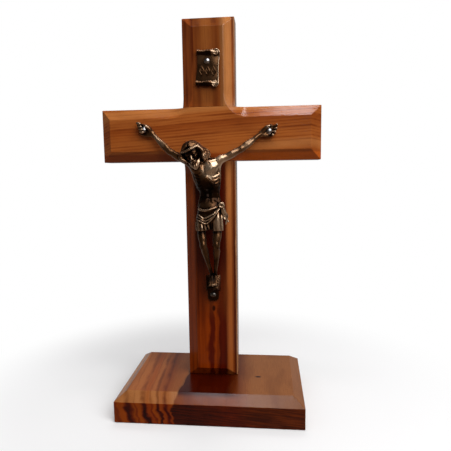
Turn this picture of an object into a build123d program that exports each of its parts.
"""A standing wooden crucifix: a lapped cross screwed to a base board, with a nailed cast figure and scroll.

Millimetres. +Z is up, the front faces -Y and +X is the viewer's right. The origin is the middle of the
base's underside. Left and right in the names of the figure's parts are the figure's own.
"""

import os
from math import atan, cos, degrees, radians, sin

from build123d import *

# Base board
base_width = 97.0
base_depth = 60.0
base_height = 15.0
base_bevel_width = 5.5
base_bevel_drop = 4.0

# Cross timbers
timber_thickness = 15.0
upright_width = 27.0
upright_height = 190.0
crossbeam_length = 115.0
crossbeam_height = 27.5
crossbeam_above_base = 131.5
bevel_width = 5.4
bevel_depth = 4.5
cutter_bearing_radius = 6.35
arris_radius = 0.4
glue_gap = 0.05

# Nails
nail_head_radius = 1.6
nail_head_height = 1.0
nail_shank_radius = 0.6
nail_length = 12.0
nail_point_length = 2.0
nail_fit = 0.03

# Screws under the base
screw_head_radius = 3.4
screw_shank_radius = 1.75
screw_length = 32.0
screw_point_length = 4.0
screw_spacing = 13.0
screw_head_recess = 0.6
screw_slot_length = 4.0
screw_slot_width = 0.9
screw_slot_depth = 1.1
screw_fit = 0.05

# Title scroll
scroll_width = 11.6
scroll_height = 18.0
scroll_thickness = 1.2
scroll_roll_radius = 1.5
scroll_volute_radius = 1.9
scroll_volute_height = 2.6
scroll_lean = 3.0
scroll_below_top = 17.0
scroll_nail_drop = 5.6
lozenge_count = 3
lozenge_width = 2.4
lozenge_height = 4.6
lozenge_pitch = 3.0
lozenge_relief = 0.4
lozenge_drop = 5.0

# Figure: the height of its head is the measure of the rest of the body
head = 12.0
palm_thickness = 2.8
tab_thickness = 1.6
tab_width = 5.9
tab_height = 7.4
footrest_width = 7.2

# Places that follow from the sizes above
upright_foot = base_height
upright_top = upright_foot + upright_height
upright_middle = upright_foot + upright_height / 2
crossbeam_centre = base_height + crossbeam_above_base
front = timber_thickness / 2
bevel_angle = degrees(atan(bevel_width / bevel_depth))
base_bevel_angle = degrees(atan(base_bevel_width / base_bevel_drop))
screw_row = bevel_depth / 2
scroll_nail_height = upright_top - scroll_below_top - scroll_nail_drop

# Planes that face the viewer: the timbers' front, the line where their bevel starts, and the lap
front_face = Plane.XZ.offset(front)
bevel_line = Plane.XZ.offset(front - bevel_depth)
lap_face = Plane.XZ


def spot(across, out, up):
    """A point of the figure, in heads: across, out from the wood, and up from the crossbeam's centre."""
    return Vector(across * head, -front - out * head, crossbeam_centre + up * head)


# Where the four nails seat: on the palms, on the tab under the feet and on the scroll
right_palm = spot(-2.77, palm_thickness / head, 0.21)
left_palm = spot(2.58, palm_thickness / head, 0.05)
tab_seat = spot(0.10, tab_thickness / head, -7.02)
scroll_seat = Vector(0, -front - scroll_thickness, scroll_nail_height)
nail_seats = (right_palm, left_palm, tab_seat, scroll_seat)


def bar(seat, radius, length):
    """A round bar that starts at a seat and runs straight back, or forward where its length is negative."""
    with BuildPart() as piece:
        with BuildSketch(Plane(origin=seat, x_dir=(1, 0, 0), z_dir=(0, 1, 0))):
            Circle(radius)
        extrude(amount=length)
    return piece.part


def nail_hole(seat):
    """The hole that a nail makes, a little wider and deeper than its shank."""
    return bar(seat, nail_shank_radius + nail_fit, nail_length + nail_fit)


def nail_spot_face(seat):
    """The room in front of a seat that leaves it flat under the nail's head."""
    return bar(seat, nail_head_radius + nail_fit, -head)


def round_nail(seat):
    """A nail with a domed head, its underside on the seat and its point in the wood."""
    with BuildPart() as nail:
        with BuildSketch(Plane(origin=seat, x_dir=(1, 0, 0), z_dir=(0, 0, 1))):
            with BuildLine():
                TangentArc((0, -nail_head_height), (nail_head_radius, 0), tangent=(1, 0))
                Polyline(
                    (nail_head_radius, 0),
                    (nail_shank_radius, 0),
                    (nail_shank_radius, nail_length - nail_point_length),
                    (0, nail_length),
                    (0, -nail_head_height),
                )
            make_face()
        revolve(axis=Axis(seat, (0, 1, 0)))
    return nail


def screw_body(across, growth):
    """A countersunk screw without its slots, grown by a fit where its room is cut from the wood."""
    head_radius = screw_head_radius + growth
    shank_radius = screw_shank_radius + growth
    head_start = screw_head_recess - growth
    neck = head_start + head_radius - shank_radius
    tip = screw_head_recess + screw_length + growth
    with BuildPart() as screw:
        with BuildSketch(Plane(origin=(across, screw_row, 0), x_dir=(1, 0, 0), z_dir=(0, -1, 0))):
            with BuildLine():
                Polyline(
                    (0, head_start),
                    (head_radius, head_start),
                    (shank_radius, neck),
                    (shank_radius, tip - screw_point_length),
                    (0, tip),
                    close=True,
                )
            make_face()
        revolve(axis=Axis((across, screw_row, 0), (0, 0, 1)))
    return screw.part


screw_places = (-screw_spacing / 2, screw_spacing / 2)

# Base board, bevelled all round its top, with the screws' countersunk holes
with BuildPart() as base:
    with BuildSketch():
        Rectangle(base_width, base_depth)
    extrude(amount=base_height - base_bevel_drop)
    with BuildSketch(Plane.XY.offset(base_height - base_bevel_drop)):
        Rectangle(base_width, base_depth)
    extrude(amount=base_bevel_drop, taper=base_bevel_angle)
    fillet(base.edges(), arris_radius)
    for place in screw_places:
        add(screw_body(place, screw_fit), mode=Mode.SUBTRACT)
        with Locations((place, screw_row, 0)):
            Cylinder(
                screw_head_radius + screw_fit,
                screw_head_recess,
                align=(Align.CENTER, Align.CENTER, Align.MIN),
                mode=Mode.SUBTRACT,
            )

# The whole cross as the router leaves it: the cutter's bearing rounds the bevel in the inner corners
with BuildPart() as routed_cross:
    with BuildSketch(bevel_line) as cross_outline:
        with Locations((0, upright_middle)):
            Rectangle(upright_width, upright_height)
        with Locations((0, crossbeam_centre)):
            Rectangle(crossbeam_length, crossbeam_height)
        inner_corners = [
            corner
            for corner in cross_outline.vertices()
            if abs(corner.X) < crossbeam_length / 2 - glue_gap
            and abs(corner.Y - crossbeam_centre) < crossbeam_height / 2 + glue_gap
        ]
        fillet(inner_corners, cutter_bearing_radius)
    extrude(amount=bevel_depth, taper=bevel_angle)
    extrude(cross_outline.sketch, amount=bevel_depth - timber_thickness)


def lies_in(edge, plane):
    """Whether an edge's ends and middle are in a plane."""
    return all(abs(plane.to_local_coords(edge @ share).Z) < glue_gap for share in (0, 0.5, 1))


def outer_edges(timber, *lap_planes):
    """A timber's edges that show, without those that lie in the planes of its lap."""
    return [
        edge
        for edge in timber.edges()
        if not any(lies_in(edge, plane) for plane in lap_planes)
    ]


# Upright, cut away in front where the crossbeam laps it
with BuildPart() as upright:
    with BuildSketch(lap_face):
        with Locations((0, upright_middle)):
            Rectangle(upright_width, upright_height)
    extrude(amount=timber_thickness / 2, both=True)
    with BuildSketch(lap_face):
        with Locations((0, crossbeam_centre)):
            Rectangle(upright_width, crossbeam_height + 2 * glue_gap)
    extrude(amount=timber_thickness / 2, mode=Mode.SUBTRACT)
    add(routed_cross.part, mode=Mode.INTERSECT)
    lap_end = crossbeam_height / 2 + glue_gap
    lap_planes = [lap_face, *(Plane.XY.offset(crossbeam_centre + end) for end in (-lap_end, lap_end))]
    fillet(outer_edges(upright, *lap_planes), arris_radius)
    for seat in nail_seats:
        add(nail_hole(seat), mode=Mode.SUBTRACT)
    for place in screw_places:
        add(screw_body(place, screw_fit), mode=Mode.SUBTRACT)

# Crossbeam, cut away behind where it laps the upright
with BuildPart() as crossbeam:
    with BuildSketch(lap_face):
        with Locations((0, crossbeam_centre)):
            Rectangle(crossbeam_length, crossbeam_height)
    extrude(amount=timber_thickness / 2, both=True)
    with BuildSketch(lap_face.offset(glue_gap)):
        with Locations((0, crossbeam_centre)):
            Rectangle(upright_width + 2 * glue_gap, crossbeam_height)
    extrude(amount=-timber_thickness, mode=Mode.SUBTRACT)
    add(routed_cross.part, mode=Mode.INTERSECT)
    lap_end = upright_width / 2 + glue_gap
    lap_planes = [lap_face.offset(glue_gap), *(Plane.YZ.offset(end) for end in (-lap_end, lap_end))]
    fillet(outer_edges(crossbeam, *lap_planes), arris_radius)
    for seat in nail_seats:
        add(nail_hole(seat), mode=Mode.SUBTRACT)

# Title scroll: a plate with its ends rolled forward, a volute at the right end of each roll, three lozenges
scroll_plane = Plane(
    origin=(0, -front, scroll_nail_height),
    x_dir=(cos(radians(scroll_lean)), 0, -sin(radians(scroll_lean))),
    z_dir=(0, -1, 0),
)
scroll_top = scroll_nail_drop - scroll_roll_radius
scroll_bottom = scroll_nail_drop - scroll_height + scroll_roll_radius
scroll_relief_plane = scroll_plane.offset(scroll_thickness)

with BuildPart() as title_scroll:
    with BuildSketch(scroll_plane):
        with Locations((0, (scroll_top + scroll_bottom) / 2)):
            Rectangle(scroll_width, scroll_top - scroll_bottom)
    extrude(amount=scroll_thickness)
    for roll_height in (scroll_top, scroll_bottom):
        roll_end = scroll_relief_plane.from_local_coords(Vector(-scroll_width / 2, roll_height, 0))
        with BuildSketch(Plane(origin=roll_end, x_dir=scroll_plane.z_dir, z_dir=scroll_plane.x_dir)):
            Circle(scroll_roll_radius)
        extrude(amount=scroll_width)
        with BuildSketch(scroll_plane):
            with Locations((scroll_width / 2 - scroll_roll_radius / 2, roll_height)):
                Circle(scroll_volute_radius)
        extrude(amount=scroll_volute_height)
    with BuildSketch(scroll_relief_plane):
        with Locations((0, -lozenge_drop)):
            with GridLocations(lozenge_pitch, 0, lozenge_count, 1):
                Polygon(
                    (lozenge_width / 2, 0),
                    (0, lozenge_height / 2),
                    (-lozenge_width / 2, 0),
                    (0, -lozenge_height / 2),
                )
    extrude(amount=lozenge_relief)
    with BuildSketch(front_face):
        with Locations((0, scroll_nail_height)):
            Rectangle(2 * scroll_height, 2 * scroll_height)
    extrude(amount=-timber_thickness, mode=Mode.SUBTRACT)
    add(nail_hole(scroll_seat), mode=Mode.SUBTRACT)

# Nails and screws
title_nail = round_nail(scroll_seat)
right_hand_nail = round_nail(right_palm)
left_hand_nail = round_nail(left_palm)
foot_nail = round_nail(tab_seat)


def wood_screw(across):
    """A countersunk screw with a cross recess in its head."""
    with BuildPart() as screw:
        add(screw_body(across, 0))
        with BuildSketch(Plane.XY.offset(screw_head_recess)):
            with Locations((across, screw_row)):
                Rectangle(screw_slot_length, screw_slot_width)
                Rectangle(screw_slot_width, screw_slot_length)
        extrude(amount=screw_slot_depth, mode=Mode.SUBTRACT)
    return screw


base_screw_left, base_screw_right = (wood_screw(place) for place in screw_places)


# The cast figure: limbs turned round their own lines, a trunk and a cloth lofted through ellipses
def limb(start, end, *girths):
    """A limb that swells and tapers from start to end, round at both ends, with its radii in heads."""
    along = (end - start).normalized()
    length = (end - start).length
    radii = [girth * head for girth in girths]
    step = length / (len(radii) - 1)
    outline = [(count * step, radius) for count, radius in enumerate(radii)]
    with BuildPart() as piece:
        with BuildSketch(Plane(origin=start, x_dir=along, z_dir=along.cross(Vector(0, 1, 0)))):
            with BuildLine():
                CenterArc((0, 0), radii[0], 90, 90)
                Spline(*outline, tangents=[(1, 0), (1, 0)])
                CenterArc((length, 0), radii[-1], 0, 90)
                Line((length + radii[-1], 0), (-radii[0], 0))
            make_face()
        revolve(axis=Axis(start, along))
    return piece.part


def trunk(*sections):
    """A form lofted through ellipses: across, out, up, half width and half depth of each, in heads."""
    with BuildPart() as piece:
        for across, out, up, half_width, half_depth in sections:
            with BuildSketch(Plane(origin=spot(across, out, up))):
                Ellipse(half_width * head, half_depth * head)
        loft()
    return piece.part


def arm(shoulder, elbow, wrist, palm):
    """An arm from shoulder to palm, with the fingers half closed round the nail."""
    middle = Vector(palm.X, -front - palm_thickness / 2, palm.Z)
    reach = Vector(middle.X - wrist.X, 0, middle.Z - wrist.Z).normalized() * head
    spread = Vector(0, 1, 0).cross(reach)
    out = Vector(0, -head, 0)
    finger_pitch = 0.085
    pieces = [
        limb(shoulder, elbow, 0.22, 0.22, 0.19, 0.14),
        limb(elbow, wrist, 0.14, 0.16, 0.13, 0.09),
        limb(wrist, middle, 0.09, 0.14, 0.16),
    ]
    for place in (-1.5, -0.5, 0.5, 1.5):
        knuckle = middle + reach * 0.14 + spread * (place * finger_pitch)
        pieces.append(limb(knuckle, knuckle + reach * 0.11 + out * 0.13, 0.055, 0.045))
    thumb = middle - spread * finger_pitch
    pieces.append(limb(thumb, thumb + reach * 0.13 - spread * 0.12 + out * 0.1, 0.07, 0.05))
    return pieces


def leg(hip, knee, ankle, heel, toes):
    """A leg from hip to toes, bent a little at the knee."""
    return [
        limb(hip, knee, 0.27, 0.26, 0.19),
        limb(knee, ankle, 0.17, 0.165, 0.13, 0.09),
        limb(heel, toes, 0.11, 0.10, 0.09),
    ]


def side(out, up):
    """A point of the figure's side view, for a profile drawn on the YZ plane."""
    place = spot(0, out, up)
    return (place.Y, place.Z)


# Shoulders down to hips, then the cloth that is knotted on the left hip
torso = trunk(
    (-0.18, 0.51, -1.10, 0.42, 0.16),
    (-0.12, 0.53, -1.40, 0.60, 0.30),
    (-0.04, 0.54, -1.75, 0.57, 0.32),
    (0.02, 0.52, -2.17, 0.50, 0.29),
    (0.07, 0.49, -2.67, 0.41, 0.24),
    (0.07, 0.52, -3.17, 0.50, 0.28),
    (0.07, 0.57, -3.70, 0.54, 0.29),
)
cloth = trunk(
    (0.07, 0.52, -3.08, 0.52, 0.31),
    (0.07, 0.55, -3.50, 0.58, 0.35),
    (0.07, 0.62, -4.08, 0.57, 0.33),
)
knot = limb(spot(0.60, 0.72, -3.02), spot(0.66, 0.66, -3.10), 0.12, 0.15)
cloth_tail = limb(spot(0.68, 0.58, -3.15), spot(0.76, 0.50, -3.80), 0.08, 0.12, 0.10)

right_arm = arm(spot(-0.84, 0.52, -1.19), spot(-1.74, 0.35, -0.71), spot(-2.41, 0.21, 0.04), right_palm)
left_arm = arm(spot(0.47, 0.52, -1.16), spot(1.42, 0.35, -0.67), spot(2.25, 0.21, -0.05), left_palm)

right_leg = leg(
    hip=spot(-0.18, 0.55, -3.67),
    knee=spot(-0.23, 0.77, -4.67),
    ankle=spot(0.07, 0.38, -6.02),
    heel=spot(0.07, 0.27, -6.12),
    toes=spot(0.06, 0.62, -6.49),
)
left_leg = leg(
    hip=spot(0.33, 0.55, -3.67),
    knee=spot(0.36, 0.77, -4.67),
    ankle=spot(0.23, 0.32, -6.02),
    heel=spot(0.23, 0.20, -6.12),
    toes=spot(0.20, 0.54, -6.48),
)

# Head, bowed towards the right shoulder, with long hair and a beard
neck = limb(spot(-0.20, 0.52, -1.15), spot(-0.45, 0.66, -0.95), 0.22, 0.20)
skull = limb(spot(-0.45, 0.78, -0.96), spot(-0.60, 0.72, -0.70), 0.34, 0.40)
hair_right = limb(spot(-0.72, 0.62, -0.66), spot(-0.85, 0.50, -1.10), 0.36, 0.30, 0.16)
hair_left = limb(spot(-0.34, 0.60, -0.68), spot(-0.08, 0.58, -1.02), 0.26, 0.22, 0.12)
beard = limb(spot(-0.40, 0.92, -1.16), spot(-0.35, 0.90, -1.36), 0.18, 0.09)

with BuildPart() as corpus:
    for form in (torso, cloth, knot, cloth_tail, *right_arm, *left_arm, *right_leg, *left_leg):
        add(form)
    for form in (neck, skull, hair_right, hair_left, beard):
        add(form)
    with BuildSketch(Plane.YZ.offset(tab_seat.X)):
        with BuildLine():
            Polyline(side(0, -6.14), side(0.54, -6.58), side(0.54, -6.70), side(0, -6.90), close=True)
        make_face()
    extrude(amount=footrest_width / 2, both=True)
    with BuildSketch(front_face):
        with Locations((tab_seat.X, tab_seat.Z)):
            Rectangle(tab_width, tab_height)
    extrude(amount=tab_thickness)
    # The casting is flat behind, where it lies on the wood
    with BuildSketch(front_face):
        with Locations((0, crossbeam_centre - 3 * head)):
            Rectangle(8 * head, 10 * head)
    extrude(amount=-timber_thickness, mode=Mode.SUBTRACT)
    for seat in (right_palm, left_palm, tab_seat):
        add(nail_spot_face(seat), mode=Mode.SUBTRACT)
        add(nail_hole(seat), mode=Mode.SUBTRACT)

pieces_by_name = {
    "base": base,
    "upright": upright,
    "crossbeam": crossbeam,
    "corpus": corpus,
    "title_scroll": title_scroll,
    "title_nail": title_nail,
    "right_hand_nail": right_hand_nail,
    "left_hand_nail": left_hand_nail,
    "foot_nail": foot_nail,
    "base_screw_left": base_screw_left,
    "base_screw_right": base_screw_right,
}
os.makedirs("parts", exist_ok=True)
for name, piece in pieces_by_name.items():
    piece.part.label = name
    export_step(piece.part, f"parts/{name}.step")
